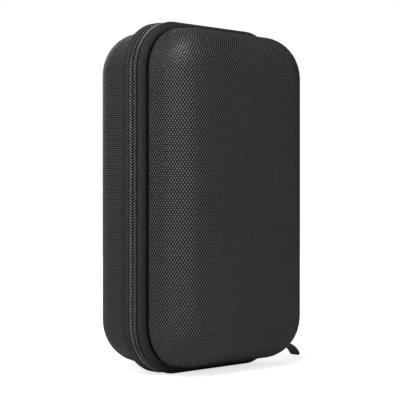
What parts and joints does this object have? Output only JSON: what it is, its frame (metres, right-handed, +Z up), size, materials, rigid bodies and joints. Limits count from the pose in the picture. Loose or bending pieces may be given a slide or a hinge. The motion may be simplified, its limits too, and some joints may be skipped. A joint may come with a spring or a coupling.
{
  "type": "controller carrying case",
  "caption": "Upright moulded clamshell case in black woven cloth for a game controller, closed by a coil zip round three sides, with a cloth hinge, foam cradle and mesh pocket.",
  "frame": {"origin": "on the floor at the middle of the standing end, in the plane of the zip", "axes": "+Z up along the length of the case, +X towards the cloth hinge, -Y towards the front half, which is the lid"},
  "size_m": [0.1686, 0.089, 0.23],
  "materials": {
    "ribbed_cloth": "ribbed woven nylon laminate",
    "dotted_cloth": "fine basket-woven nylon laminate",
    "zip_tape": "smooth woven tape",
    "binding": "ribbed tape",
    "coil": "semi-gloss nylon",
    "slider_metal": "black enamel",
    "webbing": "woven webbing",
    "foam": "brushed knit over foam",
    "elastic": "ribbed elastic",
    "loop_pile": "looped pile",
    "hook_pile": "fine hooks",
    "mesh": "knitted mesh"
  },
  "bodies": {
    "base": {"back_shell": "ribbed_cloth", "back_zipper_tape": "zip_tape", "back_rim_binding": "binding", "back_coil": "coil", "back_end_stops": "slider_metal", "back_hinge_cloth": "zip_tape", "foam_cradle": "foam", "retaining_strap_left": "elastic", "retaining_strap_right": "elastic", "loop_patch": "loop_pile", "hook_patch": "hook_pile", "strap_anchors": "binding"},
    "lid": {"front_shell": "dotted_cloth", "front_zipper_tape": "zip_tape", "front_rim_binding": "binding", "front_coil": "coil", "front_end_stops": "slider_metal", "front_hinge_cloth": "zip_tape", "mesh_pocket": "mesh", "pocket_hem": "elastic", "pocket_binding": "binding"},
    "slider": {"slider_body": "slider_metal"},
    "pull": {"pull_ring": "slider_metal", "pull_webbing": "webbing"}
  },
  "joints": [
    {"name": "lid_hinge", "type": "hinge", "parent": "base", "child": "lid", "pos_m": [0.0691, 0, 0.115], "axis": [0, 0, 1], "range_deg": [0, 150], "deforming": ["pull_webbing"]},
    {"name": "slider_travel", "type": "hinge", "parent": "base", "child": "slider", "pos_m": [0.036, 0, 0.034], "axis": [0, 1, 0], "range_deg": [0, 30]},
    {"name": "pull_swing", "type": "hinge", "parent": "slider", "child": "pull", "pos_m": [0.06407, 0, 0.00959], "axis": [0, 1, 0], "range_deg": [-35, 90]}
  ]
}
